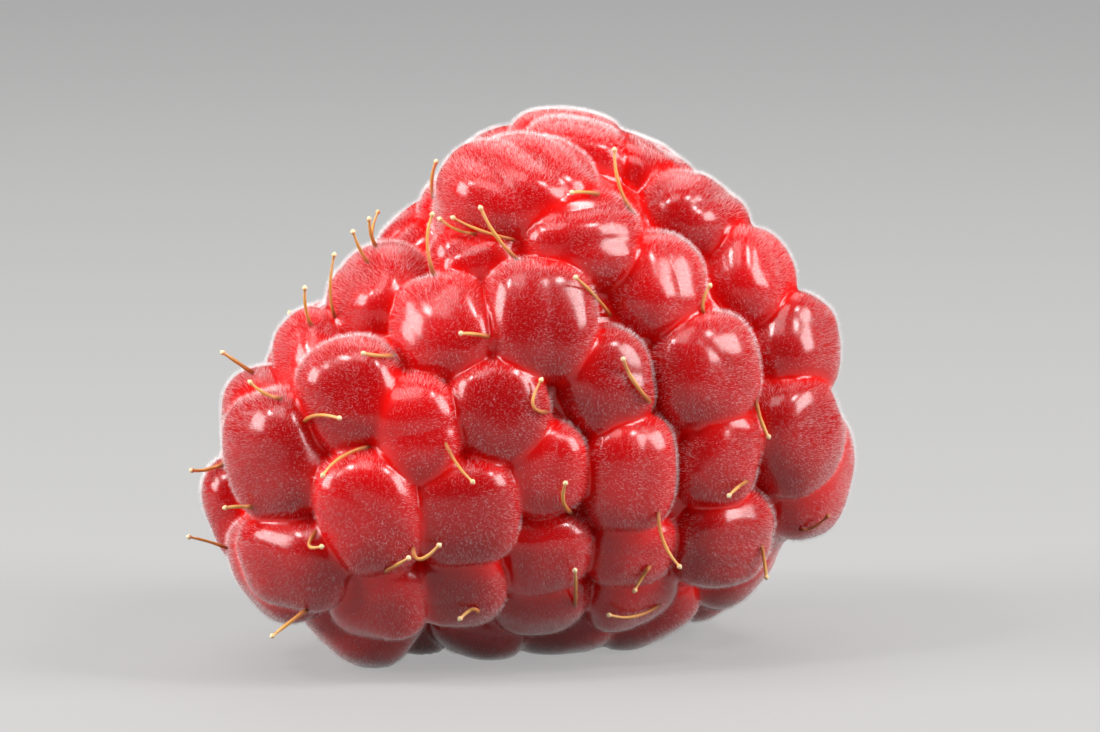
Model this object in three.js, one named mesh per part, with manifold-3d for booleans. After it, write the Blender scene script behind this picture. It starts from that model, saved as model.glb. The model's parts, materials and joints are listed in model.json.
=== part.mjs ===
// A ripe raspberry lying on its side, as picked: one body of about a hundred drupelets grown together,
// open at the stem end where it slipped off its core, with the dried styles still in its clefts.
// Millimetres, +Z up. The blunt tip points to -X, the stem end to +X and +Y, and the origin is under
// the middle of the fruit, on the surface that it rests on.
import * as THREE from 'three';
import { mergeVertices } from 'three/addons/utils/BufferGeometryUtils.js';
import Module from 'manifold-3d';

// The middles of the drupelets lie on an oval cushion, blunt-tipped on the left, that runs back to the
// right. It stands upright here, and leans back as the fruit comes to rest.
const MIDDLE = new THREE.Vector3(0.4, 0, 8.1);
// its radius every 30 degrees, from +X towards +Z
const OUTLINE = [9.8, 8.4, 7.5, 7.8, 6.2, 6.3, 8.5, 9.9, 8.0, 6.4, 7.2, 9.2];
const HALF_DEPTH = 7.0;
const FULLNESS = 2.5; // 2 is an oval in depth, more is fuller
const RUN_BACK = 0.35; // how far the cushion goes back per millimetre to the right
const LEAN = 7; // degrees, top away from the front
const PRESS = 0.12; // how far the lowest drupelets are pressed flat
const FLOOR = 0.3; // the height of the surface that the fruit rests on, in these tables
const SETTLE = 0.3; // a drupelet this close to the surface rests on it too
const PLACE = [0.185, -0.43, -FLOOR]; // sets the whole fruit's box over the origin
const CLEAR = 14; // further from the middle than any point of the fruit

// A drupelet is a pillow. Its crown stands out of the fruit, and its neighbours close its sides.
const PILLOW = 2.55; // roundness: 2 is an egg, more is squarer
const SPREAD = 1.18; // a drupelet's own width over the width that shows between its neighbours
const CROWN = 0.46; // crown height over the mean width
const PILLOW_SIDES = 10;
const PILLOW_RINGS = 6;
const ROOT = 1.7; // how far a drupelet reaches inwards, over its crown height
const FLESH = 0.98; // the grown-together flesh between the drupelets, over the cushion
const FLESH_SIDES = 32;
const FLESH_RINGS = 16;

// The hollow that the core leaves: a cone with a rounded end, from the stem end towards the tip.
const STEM_TURN = 28; // degrees from +X towards +Y
const STEM_RISE = 6;
const STEM_END = 6.8; // where the flesh ends, from the fruit's middle
const HOLLOW_MOUTH = 4.4;
const HOLLOW_END = 1.5;
const HOLLOW_DEPTH = 10;
const HOLLOW_SIDES = 28;
const HOLLOW_END_STEPS = 5;
const CUT_SIDES = 8; // of the plain cut at the stem end
const CUT_OVER = 4; // how far the hollow's shape runs on past the stem end

// Drupelets of the front: [x, z, width, height, turn in degrees]
const FRONT = [
  // the ring round the stem end, and the large ones on top
  [3.5, 14.7, 3.0, 2.4, -25], [5.0, 13.4, 3.5, 2.6, -30], [6.55, 11.75, 2.9, 2.9, -20],
  [7.95, 9.65, 2.8, 3.0, -20], [7.8, 7.05, 3.1, 3.3, 28],
  [-0.45, 14.15, 4.2, 3.4, 16], [-2.3, 14.4, 1.8, 2.4, 30],
  // upper rows
  [1.35, 12.9, 3.35, 2.8, 0], [3.65, 11.5, 2.8, 2.9, -10], [-1.6, 12.3, 2.5, 2.0, 10],
  [-3.5, 13.2, 2.8, 2.4, 35], [0.15, 10.45, 3.05, 3.3, 0], [-2.6, 10.2, 2.7, 2.9, 15],
  [-4.6, 11.0, 3.0, 3.2, 30], [5.1, 8.95, 3.1, 3.2, 0],
  // middle rows
  [2.1, 8.65, 2.6, 2.8, 20], [-1.05, 7.8, 2.7, 2.9, 10], [-3.5, 7.2, 2.4, 3.0, 10],
  [-5.3, 8.2, 2.8, 3.0, 20], [0.3, 6.1, 2.4, 2.6, 20], [2.8, 5.95, 2.6, 3.2, 0],
  [5.5, 6.5, 2.4, 3.0, -10], [-2.1, 4.9, 3.0, 3.0, 0], [-4.8, 4.85, 2.8, 3.4, 20],
  [-7.5, 6.4, 2.9, 3.5, 10], [-6.6, 9.35, 2.1, 2.6, 30], [-8.1, 7.4, 2.6, 2.8, -30],
  // lower rows
  [5.65, 4.0, 3.1, 2.8, 5], [2.9, 3.75, 2.6, 2.3, 0], [0.25, 3.65, 2.7, 2.5, 0],
  [-2.3, 2.75, 2.7, 2.6, 0], [-4.6, 2.5, 2.9, 2.8, 10], [-6.95, 3.4, 3.3, 2.7, -10],
  [-8.75, 4.7, 2.4, 3.0, 0], [2.9, 2.5, 2.7, 2.6, 0], [0.15, 2.35, 2.8, 2.7, 0],
];

// Drupelets at the edges of the front, which face up, down or sideways: [degrees from +X to +Z, degrees
// behind the front's edge, width, height, how far out over the cushion]
const EDGE = [
  [344, -24, 3.2, 3.6, 0.93], [319, -4, 3.8, 3.0, 0.86], [296, -8, 3.2, 2.9, 0.97],
  [274, -8, 3.3, 2.9, 0.98],
  [253, -9, 2.8, 2.7, 0.98], [227, -9, 3.3, 3.0, 0.94], [212, -14, 2.8, 3.1, 0.98],
  [184, -6, 2.8, 2.8, 0.93], [167, -8, 2.7, 2.6, 0.87], [149, -8, 2.7, 2.6, 0.9],
  [130, -12, 2.8, 2.6, 0.92],
  [110, -16, 3.0, 2.8, 0.94], [94, -16, 2.9, 2.6, 0.91], [83, -14, 3.0, 2.7, 0.96],
  [85, 1, 3.3, 3.0, 0.97],
  [64, 2, 3.0, 2.9, 0.92], [46, 6, 3.0, 3.0, 0.87], [103, 4, 2.9, 2.8, 0.88], [120, 6, 2.8, 2.8, 0.93],
  [139, 10, 2.8, 2.8, 0.92], [158, 12, 2.8, 2.8, 0.91], [176, 14, 2.8, 2.8, 0.91],
  [196, 10, 2.9, 2.8, 0.95],
  [314, 10, 3.0, 2.8, 0.86], [288, 6, 3.0, 2.8, 0.97], [262, 6, 2.9, 2.8, 1], [238, 8, 2.9, 2.8, 1],
  [214, 8, 2.9, 2.8, 0.91],
];

// Drupelets of the hidden side, in rows round the stem axis: [degrees from the stem, first and last
// place in degrees round from the top by the front, how many, width, how far out over the cushion]
const HIDDEN_ROWS = [
  [47, 186, 386, 8, 3.3, 0.9], [66, 190, 370, 9, 3.0, 0.97], [85, 196, 344, 9, 2.8, 1],
  [104, 202, 330, 8, 2.9, 1], [123, 212, 316, 6, 2.9, 1], [142, 232, 296, 3, 2.9, 0.94],
];
const UNEVEN = 0.07; // how much the hidden drupelets differ from round
const GOLDEN_ANGLE = Math.PI * (3 - Math.sqrt(5));

// Dried styles: thin straw-like threads, rooted in the clefts and lying or standing off the skin.
const STYLE_RADIUS = 0.065;
const STYLE_SIDES = 5;
const STYLE_STEPS = 6;
const STYLE_ROOT = 0.05; // how deep a style is rooted
const STYLE_CLEAR = 0.2; // the least way between its middle line and the skin it passes over
const STYLE_LIFT = 0.45; // how far its free end stands off the skin
const STYLE_STAND = 0.7; // how far a hidden style stands out, over its length
const STYLE_BEND = 0.8; // and how far it bends aside
const SKIN_STEP = 0.05; // how finely the skin is felt for

// Styles of the front: [root x, z, a point on the way x, z, free end x, z]
const FRONT_STYLES = [
  // standing out of the upper left edge
  [-3.0, 14.2, -3.15, 14.8, -2.95, 15.3], [-4.7, 12.7, -4.9, 13.1, -4.9, 13.5],
  [-4.9, 12.2, -5.2, 12.6, -5.35, 13.1], [-5.9, 10.5, -6.2, 11.3, -5.95, 12.4],
  [-6.6, 10.3, -6.85, 10.8, -6.8, 11.4], [-8.4, 8.9, -8.8, 9.2, -9.25, 9.5],
  // on the upper drupelets
  [-2.9, 11.8, -3.3, 12.8, -3.0, 13.6], [-1.6, 13.1, -2.2, 13.1, -2.7, 13.5],
  [-0.4, 12.3, -1.1, 12.9, -1.5, 13.8], [-0.4, 12.9, -1.5, 13.1, -2.3, 13.55],
  [3.1, 13.7, 2.5, 14.5, 2.5, 15.6], [2.05, 14.3, 1.6, 14.4, 1.25, 14.35],
  [2.4, 10.6, 2.0, 11.2, 1.35, 11.75], [5.2, 10.7, 5.1, 11.1, 5.35, 11.5],
  [-1.25, 10.0, -1.7, 10.1, -2.05, 10.1], [-4.1, 9.45, -4.5, 9.4, -4.95, 9.5],
  // on the middle drupelets
  [-7.4, 8.15, -7.95, 8.2, -8.35, 8.6], [-6.8, 7.45, -6.5, 7.8, -5.75, 7.6],
  [-4.7, 6.75, -5.7, 6.6, -6.15, 5.95], [0.55, 7.75, -0.3, 7.7, 0.25, 8.65],
  [3.7, 7.9, 3.0, 8.6, 2.75, 9.3], [-2.6, 6.95, -2.3, 6.2, -1.8, 5.75],
  [6.8, 8.1, 6.9, 7.5, 7.15, 7.05], [6.55, 5.65, 6.25, 5.5, 6.0, 5.25],
  [1.2, 4.7, 0.8, 5.0, 1.0, 5.6], [-8.3, 4.9, -8.7, 4.95, -9.1, 4.9],
  // on the lower drupelets and out of the left edge
  [3.8, 4.85, 3.8, 3.8, 4.4, 3.15], [3.6, 3.1, 3.35, 2.8, 3.15, 2.4],
  [4.0, 1.9, 3.2, 1.3, 2.4, 1.55], [1.3, 1.8, 1.35, 2.4, 1.3, 2.95],
  [-9.3, 6.2, -9.9, 5.9, -10.3, 5.95], [-9.2, 3.6, -9.8, 3.85, -10.3, 3.95],
  [-6.4, 4.25, -6.9, 3.6, -6.3, 3.75], [-6.7, 1.85, -7.2, 1.5, -7.7, 1.1],
  [-4.4, 3.0, -4.1, 3.15, -3.7, 3.4], [-3.55, 3.8, -3.5, 3.0, -2.8, 3.75],
  [-1.6, 1.7, -1.7, 2.0, -2.1, 1.6], [7.0, 3.7, 7.1, 3.2, 7.15, 2.75],
  [8.2, 4.1, 8.6, 4.0, 9.05, 4.45],
];

// Styles of the hidden side: [degrees from the stem, degrees round from the top by the front, length]
const HIDDEN_STYLES = [
  [58, 250, 1.6], [58, 316, 1.3], [76, 222, 1.2], [76, 272, 1.8], [76, 333, 1.4], [95, 244, 1.3],
  [95, 297, 1.7], [114, 226, 1.2], [114, 275, 1.5], [114, 318, 1.8], [132, 250, 1.5], [132, 292, 1.3],
];

const wasm = await Module();
wasm.setup();

const radians = THREE.MathUtils.degToRad;

// The envelope's radius at an angle in its broad plane: a smooth closed curve through OUTLINE.
function outlineRadius(angle) {
  const count = OUTLINE.length;
  const along = THREE.MathUtils.euclideanModulo((angle / (2 * Math.PI)) * count, count);
  const first = Math.floor(along);
  const t = along - first;
  const [before, from, to, after] = [-1, 0, 1, 2].map((step) => (
    OUTLINE[(first + step + count) % count]
  ));
  const slopeFrom = (to - before) / 2;
  const slopeTo = (after - from) / 2;
  const rise = to - from;
  const bend = 3 * rise - 2 * slopeFrom - slopeTo;
  const twist = slopeFrom + slopeTo - 2 * rise;
  return from + t * (slopeFrom + t * (bend + t * twist));
}

// The cushion's point in a direction from its middle, and the way it faces there. The direction is
// taken before the cushion runs back.
function cushionAlong(direction) {
  const radius = outlineRadius(Math.atan2(direction.z, direction.x));
  const flat = Math.hypot(direction.x, direction.z) / radius;
  const deep = Math.abs(direction.y) / HALF_DEPTH;
  const size = (flat ** FULLNESS + deep ** FULLNESS) ** (1 / FULLNESS);
  const point = direction.clone().divideScalar(size);
  const broad = flat ** (FULLNESS - 2) / radius ** 2;
  const sunk = (Math.sign(direction.y) * deep ** (FULLNESS - 1)) / HALF_DEPTH;
  const facing = new THREE.Vector3(direction.x * broad - RUN_BACK * sunk, sunk, direction.z * broad);
  point.y += RUN_BACK * point.x;
  return { point: point.add(MIDDLE), facing: facing.normalize() };
}

// The same for a place of the front, by its x and z.
function cushionFront(x, z) {
  const across = new THREE.Vector3(x - MIDDLE.x, 0, z - MIDDLE.z);
  const share = Math.min(across.length() / outlineRadius(Math.atan2(across.z, across.x)), 1);
  across.y = -HALF_DEPTH * (1 - share ** FULLNESS) ** (1 / FULLNESS);
  return cushionAlong(across);
}

// The same for a place at the edge of the front.
function cushionEdge(angle, behind, out) {
  const [round, back] = [radians(angle), radians(behind)];
  const spot = cushionAlong(new THREE.Vector3(
    Math.cos(round) * Math.cos(back), Math.sin(back), Math.sin(round) * Math.cos(back),
  ));
  spot.point.lerpVectors(MIDDLE, spot.point, out);
  return spot;
}

// Two directions in a drupelet's own face: across it, and up it.
function faceDirections(facing, turn) {
  const sideways = Math.abs(facing.x) > Math.abs(facing.z);
  const guide = sideways ? new THREE.Vector3(0, 0, 1) : new THREE.Vector3(1, 0, 0);
  const flat = guide.addScaledVector(facing, -guide.dot(facing)).normalize();
  const across = sideways ? flat.clone().cross(facing) : flat;
  across.applyAxisAngle(facing, radians(turn));
  return [across, facing.clone().cross(across)];
}

// A drupelet: its middle, and its half axes across, up and outwards.
function drupelet({ point, facing }, width, height, turn) {
  const [across, up] = faceDirections(facing, turn);
  const crown = (CROWN * (width + height)) / 2;
  const leaning = new THREE.Matrix4().makeRotationX(radians(-LEAN));
  const axes = [across, up, facing].map((axis) => axis.clone().applyMatrix4(leaning));
  const sizes = [(SPREAD * width) / 2, (SPREAD * height) / 2, crown];
  const middle = point.clone().applyMatrix4(leaning);
  const lowest = middle.z - reachDown(axes, sizes);
  if (lowest < FLOOR + SETTLE) middle.z += FLOOR - PRESS - lowest;
  return { middle, axes, sizes };
}

// How far a pillow reaches below its middle.
function reachDown(axes, sizes) {
  const power = PILLOW / (PILLOW - 1);
  const terms = axes.map((axis, index) => Math.abs(axis.z * sizes[index]) ** power);
  return (terms[0] + terms[1] + terms[2]) ** (1 / power);
}

// The front's drupelets, then the hidden side's, row by row round the stem end.
function allDrupelets() {
  const front = FRONT.map(([x, z, width, height, turn]) => (
    drupelet(cushionFront(x, z), width, height, turn)
  ));
  const edge = EDGE.map(([angle, behind, width, height, out]) => (
    drupelet(cushionEdge(angle, behind, out), width, height, 0)
  ));
  const hidden = HIDDEN_ROWS.flatMap(([fromStem, start, end, count, width, out]) => {
    const row = [];
    for (let index = 0; index < count; index += 1) {
      const round = start + ((end - start) * index) / (count - 1);
      const uneven = 1 + UNEVEN * Math.sin(count * fromStem + GOLDEN_ANGLE * index);
      const spot = cushionAlong(unsheared(aroundStem(fromStem, round)));
      spot.point.lerpVectors(MIDDLE, spot.point, out);
      row.push(drupelet(spot, width * uneven, width / uneven, 0));
    }
    return row;
  });
  return [...front, ...edge, ...hidden];
}

// A direction as it was before the cushion ran back.
function unsheared(direction) {
  return new THREE.Vector3(direction.x, direction.y - RUN_BACK * direction.x, direction.z);
}

// A direction at an angle from the stem axis, turned round it from the top towards the front.
function aroundStem(fromStem, round) {
  const stem = stemAxis();
  const front = new THREE.Vector3(0, 0, 1).cross(stem).normalize().negate();
  const top = stem.clone().cross(front).negate();
  return stem.multiplyScalar(Math.cos(radians(fromStem)))
    .addScaledVector(top, Math.sin(radians(fromStem)) * Math.cos(radians(round)))
    .addScaledVector(front, Math.sin(radians(fromStem)) * Math.sin(radians(round)));
}

function stemAxis() {
  const turn = radians(STEM_TURN);
  const rise = radians(STEM_RISE);
  const level = Math.cos(rise);
  return new THREE.Vector3(level * Math.cos(turn), level * Math.sin(turn), Math.sin(rise));
}

// ---- solids, joined and cut
function toSolid(geometry) {
  geometry.deleteAttribute('normal');
  geometry.deleteAttribute('uv');
  const merged = mergeVertices(geometry, 1e-5);
  const mesh = new wasm.Mesh({
    numProp: 3,
    vertProperties: Float32Array.from(merged.attributes.position.array),
    triVerts: Uint32Array.from(merged.index.array),
  });
  return new wasm.Manifold(mesh);
}

function toGeometry(solid) {
  const { vertProperties, triVerts } = solid.getMesh();
  const geometry = new THREE.BufferGeometry();
  geometry.setAttribute('position', new THREE.BufferAttribute(vertProperties, 3));
  geometry.setIndex(new THREE.BufferAttribute(triVerts, 1));
  return geometry;
}

// Moves each point of a ball to where its own direction meets the wanted surface.
function reshape(ball, surfacePoint) {
  const { position } = ball.attributes;
  const point = new THREE.Vector3();
  for (let index = 0; index < position.count; index += 1) {
    surfacePoint(point.fromBufferAttribute(position, index));
    position.setXYZ(index, point.x, point.y, point.z);
  }
  return ball;
}

function pillowSolid({ middle, axes, sizes }) {
  const ball = new THREE.SphereGeometry(1, PILLOW_SIDES, PILLOW_RINGS).rotateX(Math.PI / 2);
  reshape(ball, (point) => {
    const shares = point.toArray().map((length) => Math.abs(length) ** PILLOW);
    point.divideScalar((shares[0] + shares[1] + shares[2]) ** (1 / PILLOW));
    if (point.z < 0) point.z *= ROOT;
  });
  ball.scale(...sizes);
  ball.applyMatrix4(new THREE.Matrix4().makeBasis(...axes).setPosition(middle));
  return toSolid(ball);
}

function fleshSolid() {
  const ball = reshape(new THREE.SphereGeometry(1, FLESH_SIDES, FLESH_RINGS), (point) => {
    const surface = cushionAlong(point).point;
    point.copy(surface).sub(MIDDLE).multiplyScalar(FLESH).add(MIDDLE);
  });
  return toSolid(ball.rotateX(radians(-LEAN)));
}

// A turned shape on the stem axis, measured from the fruit's middle.
function onStemAxis(profile, sides) {
  const turned = new THREE.LatheGeometry(profile.getPoints(HOLLOW_END_STEPS), sides);
  const upright = new THREE.Vector3(0, 1, 0);
  turned.applyQuaternion(new THREE.Quaternion().setFromUnitVectors(upright, stemAxis()));
  turned.translate(MIDDLE.x, MIDDLE.y, MIDDLE.z);
  return toSolid(turned.rotateX(radians(-LEAN)));
}

function beyondStemEnd() {
  const profile = new THREE.Path();
  profile.moveTo(0, STEM_END);
  profile.lineTo(CLEAR, STEM_END);
  profile.lineTo(CLEAR, STEM_END + CLEAR);
  profile.lineTo(0, STEM_END + CLEAR);
  return onStemAxis(profile, CUT_SIDES);
}

function hollowSolid() {
  const slope = (HOLLOW_MOUTH - HOLLOW_END) / HOLLOW_DEPTH;
  const profile = new THREE.Path();
  profile.moveTo(0, STEM_END - HOLLOW_DEPTH);
  profile.absarc(0, STEM_END - HOLLOW_DEPTH + HOLLOW_END, HOLLOW_END, -Math.PI / 2, 0);
  profile.lineTo(HOLLOW_MOUTH + slope * CUT_OVER, STEM_END + CUT_OVER);
  profile.lineTo(0, STEM_END + CUT_OVER);
  return onStemAxis(profile, HOLLOW_SIDES);
}

function bodyGeometry(drupelets) {
  const below = new THREE.BoxGeometry(2 * CLEAR, 2 * CLEAR, CLEAR).translate(0, 0, FLOOR - CLEAR / 2);
  const flesh = fleshSolid().subtract(beyondStemEnd());
  const joined = drupelets.reduce((body, pillow) => body.add(pillowSolid(pillow)), flesh);
  return toGeometry(joined.subtract(hollowSolid()).subtract(toSolid(below)));
}

// ---- dried styles
// How deep a point is in the skin: over 1 is outside every drupelet.
function depthInSkin(point, drupelets) {
  return Math.min(...drupelets.map(({ middle, axes, sizes }) => {
    const offset = point.clone().sub(middle);
    const shares = axes.map((axis, index) => Math.abs(offset.dot(axis) / sizes[index]) ** PILLOW);
    return shares[0] + shares[1] + shares[2];
  }));
}

// The first point of the skin on a line that comes from outside, or null where it passes by.
function skinPoint(from, direction, reach, drupelets) {
  for (let along = 0; along < reach; along += SKIN_STEP) {
    const point = from.clone().addScaledVector(direction, along);
    if (depthInSkin(point, drupelets) < 1) return point;
  }
  return null;
}

// A style of the front follows a curve in x and z. In depth it runs straight from root to free end, or
// over the skin where that stands in its way.
function frontStyleRoute([rootX, rootZ, wayX, wayZ, endX, endZ], drupelets) {
  const leaning = new THREE.Matrix4().makeRotationX(radians(-LEAN));
  const inwards = new THREE.Vector3(0, 1, 0).applyMatrix4(leaning);
  const plan = new THREE.QuadraticBezierCurve(
    new THREE.Vector2(rootX, rootZ), new THREE.Vector2(wayX, wayZ), new THREE.Vector2(endX, endZ),
  );
  const places = plan.getPoints(STYLE_STEPS).map(({ x, y }) => (
    new THREE.Vector3(x, -CLEAR, y).applyMatrix4(leaning)
  ));
  const depths = places.map((place) => skinPoint(place, inwards, CLEAR, drupelets)?.sub(place).length());
  const rootDepth = depths[0];
  const endDepth = (depths.at(-1) ?? rootDepth) - STYLE_LIFT;
  return places.map((place, index) => {
    const straight = THREE.MathUtils.lerp(rootDepth, Math.min(endDepth, rootDepth), index / STYLE_STEPS);
    const over = Math.min(straight, (depths[index] ?? Infinity) - STYLE_CLEAR);
    return place.addScaledVector(inwards, index === 0 ? rootDepth + STYLE_ROOT : over);
  });
}

// A style of the hidden side stands off the skin and bends over, each one another way round.
function hiddenStyleRoute([fromStem, round, length], number, drupelets) {
  const spot = cushionAlong(unsheared(aroundStem(fromStem, round)));
  const leaning = new THREE.Matrix4().makeRotationX(radians(-LEAN));
  const out = spot.facing.applyMatrix4(leaning);
  const start = spot.point.applyMatrix4(leaning).addScaledVector(out, HALF_DEPTH);
  const root = skinPoint(start, out.clone().negate(), CLEAR, drupelets);
  const [aside] = faceDirections(out, THREE.MathUtils.radToDeg(number * GOLDEN_ANGLE));
  const points = [root.clone().addScaledVector(out, -STYLE_ROOT)];
  for (let index = 1; index <= STYLE_STEPS; index += 1) {
    const share = index / STYLE_STEPS;
    points.push(root.clone()
      .addScaledVector(aside, length * STYLE_BEND * share ** 2)
      .addScaledVector(out, length * STYLE_STAND * share));
  }
  return points;
}

function styleGeometry(route) {
  const section = new THREE.Shape();
  for (let side = 0; side < STYLE_SIDES; side += 1) {
    const angle = (2 * Math.PI * side) / STYLE_SIDES;
    const [across, up] = [STYLE_RADIUS * Math.cos(angle), STYLE_RADIUS * Math.sin(angle)];
    if (side === 0) section.moveTo(across, up);
    else section.lineTo(across, up);
  }
  const curve = new THREE.CatmullRomCurve3(route);
  return new THREE.ExtrudeGeometry(section, { steps: STYLE_STEPS, extrudePath: curve });
}

// ---- the fruit
const drupelets = allDrupelets();
const routes = [
  ...FRONT_STYLES.map((style) => frontStyleRoute(style, drupelets)),
  ...HIDDEN_STYLES.map((style, index) => hiddenStyleRoute(style, index, drupelets)),
];

const skin = new THREE.MeshStandardMaterial({ color: '#c4151c', roughness: 0.35, metalness: 0 });
const straw = new THREE.MeshStandardMaterial({ color: '#d6a35a', roughness: 0.6, metalness: 0 });

const raspberry = new THREE.Group();
raspberry.position.set(...PLACE);
const body = new THREE.Mesh(bodyGeometry(drupelets), skin);
body.name = 'drupelets';
raspberry.add(body);
routes.forEach((route, index) => {
  const style = new THREE.Mesh(styleGeometry(route), straw.clone());
  style.name = `style_${String(index + 1).padStart(2, '0')}`;
  raspberry.add(style);
});

export default raspberry;
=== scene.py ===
"""The looks of a ripe raspberry that lies on its side: a translucent skin of drupelets grown
together, fine white down, dried styles in the clefts and the open hollow that its core left.

The drupelets stand where the solids have them, from the same table of places. Each piece here is a
surface worked out on a grid. Lengths are millimetres until a mesh is made, which is in metres.
"""

import json
import math

import bpy
import numpy as np
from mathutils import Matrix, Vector
from mathutils.bvhtree import BVHTree

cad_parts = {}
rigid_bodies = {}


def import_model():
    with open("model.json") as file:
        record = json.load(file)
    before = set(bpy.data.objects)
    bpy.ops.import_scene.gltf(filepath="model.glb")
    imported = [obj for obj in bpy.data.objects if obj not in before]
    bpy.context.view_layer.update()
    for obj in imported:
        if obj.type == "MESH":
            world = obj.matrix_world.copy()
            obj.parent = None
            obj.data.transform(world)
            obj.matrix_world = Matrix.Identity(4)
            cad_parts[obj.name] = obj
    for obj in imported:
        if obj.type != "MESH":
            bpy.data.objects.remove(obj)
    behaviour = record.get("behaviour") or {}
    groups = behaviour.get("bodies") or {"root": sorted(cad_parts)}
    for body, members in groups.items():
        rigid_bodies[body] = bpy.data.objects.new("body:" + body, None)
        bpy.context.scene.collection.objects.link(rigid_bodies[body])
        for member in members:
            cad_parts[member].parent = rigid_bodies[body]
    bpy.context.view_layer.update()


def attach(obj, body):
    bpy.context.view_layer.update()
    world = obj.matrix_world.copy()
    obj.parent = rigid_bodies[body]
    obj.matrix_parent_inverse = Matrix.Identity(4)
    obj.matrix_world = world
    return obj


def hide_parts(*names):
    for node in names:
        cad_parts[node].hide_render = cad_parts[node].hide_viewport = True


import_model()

MM = 0.001
SEED = 41
UP = np.array((0.0, 0.0, 1.0))
ACROSS = np.array((1.0, 0.0, 0.0))
INWARDS = np.array((0.0, 1.0, 0.0))

# ---- the fruit's form, as the solids have it
MIDDLE = np.array((0.4, 0.0, 8.1))
OUTLINE = np.array((9.8, 8.4, 7.5, 7.8, 6.2, 6.3, 8.5, 9.9, 8.0, 6.4, 7.2, 9.2))  # every 30 degrees
HALF_DEPTH = 7.0
FULLNESS = 2.5
RUN_BACK = 0.35
LEAN = 7
PRESS = 0.12
FLOOR = 0.3
SETTLE = 0.3
PLACE = np.array((0.185, -0.43, -FLOOR))

PILLOW = 2.55
SPREAD = 1.18
CROWN = 0.46
ROOT = 1.7
FLESH = 0.98

STEM_TURN = 28
STEM_RISE = 6
STEM_END = 6.8
HOLLOW_MOUTH = 4.4
HOLLOW_END = 1.5
HOLLOW_DEPTH = 10.0

# The front's drupelets: x, z, width, height, turn in degrees
FRONT = np.array((
    (3.5, 14.7, 3.0, 2.4, -25), (5.0, 13.4, 3.5, 2.6, -30), (6.55, 11.75, 2.9, 2.9, -20),
    (7.95, 9.65, 2.8, 3.0, -20), (7.8, 7.05, 3.1, 3.3, 28), (-0.45, 14.15, 4.2, 3.4, 16),
    (-2.3, 14.4, 1.8, 2.4, 30), (1.35, 12.9, 3.35, 2.8, 0), (3.65, 11.5, 2.8, 2.9, -10),
    (-1.6, 12.3, 2.5, 2.0, 10), (-3.5, 13.2, 2.8, 2.4, 35), (0.15, 10.45, 3.05, 3.3, 0),
    (-2.6, 10.2, 2.7, 2.9, 15), (-4.6, 11.0, 3.0, 3.2, 30), (5.1, 8.95, 3.1, 3.2, 0),
    (2.1, 8.65, 2.6, 2.8, 20), (-1.05, 7.8, 2.7, 2.9, 10), (-3.5, 7.2, 2.4, 3.0, 10),
    (-5.3, 8.2, 2.8, 3.0, 20), (0.3, 6.1, 2.4, 2.6, 20), (2.8, 5.95, 2.6, 3.2, 0),
    (5.5, 6.5, 2.4, 3.0, -10), (-2.1, 4.9, 3.0, 3.0, 0), (-4.8, 4.85, 2.8, 3.4, 20),
    (-7.5, 6.4, 2.9, 3.5, 10), (-6.6, 9.35, 2.1, 2.6, 30), (-8.1, 7.4, 2.6, 2.8, -30),
    (5.65, 4.0, 3.1, 2.8, 5), (2.9, 3.75, 2.6, 2.3, 0), (0.25, 3.65, 2.7, 2.5, 0),
    (-2.3, 2.75, 2.7, 2.6, 0), (-4.6, 2.5, 2.9, 2.8, 10), (-6.95, 3.4, 3.3, 2.7, -10),
    (-8.75, 4.7, 2.4, 3.0, 0), (2.9, 2.5, 2.7, 2.6, 0), (0.15, 2.35, 2.8, 2.7, 0),
))

# Drupelets at the front's edges: degrees from +X to +Z, degrees behind the front's edge, width,
# height, how far out over the cushion
EDGE = np.array((
    (344, -24, 3.2, 3.6, 0.93), (319, -4, 3.8, 3.0, 0.86), (296, -8, 3.2, 2.9, 0.97),
    (274, -8, 3.3, 2.9, 0.98), (253, -9, 2.8, 2.7, 0.98), (227, -9, 3.3, 3.0, 0.94),
    (212, -14, 2.8, 3.1, 0.98), (184, -6, 2.8, 2.8, 0.93), (167, -8, 2.7, 2.6, 0.87),
    (149, -8, 2.7, 2.6, 0.9), (130, -12, 2.8, 2.6, 0.92), (110, -16, 3.0, 2.8, 0.94),
    (94, -16, 2.9, 2.6, 0.91), (83, -14, 3.0, 2.7, 0.96), (85, 1, 3.3, 3.0, 0.97),
    (64, 2, 3.0, 2.9, 0.92), (46, 6, 3.0, 3.0, 0.87), (103, 4, 2.9, 2.8, 0.88),
    (120, 6, 2.8, 2.8, 0.93), (139, 10, 2.8, 2.8, 0.92), (158, 12, 2.8, 2.8, 0.91),
    (176, 14, 2.8, 2.8, 0.91), (196, 10, 2.9, 2.8, 0.95), (314, 10, 3.0, 2.8, 0.86),
    (288, 6, 3.0, 2.8, 0.97), (262, 6, 2.9, 2.8, 1.0), (238, 8, 2.9, 2.8, 1.0),
    (214, 8, 2.9, 2.8, 0.91),
))

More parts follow.
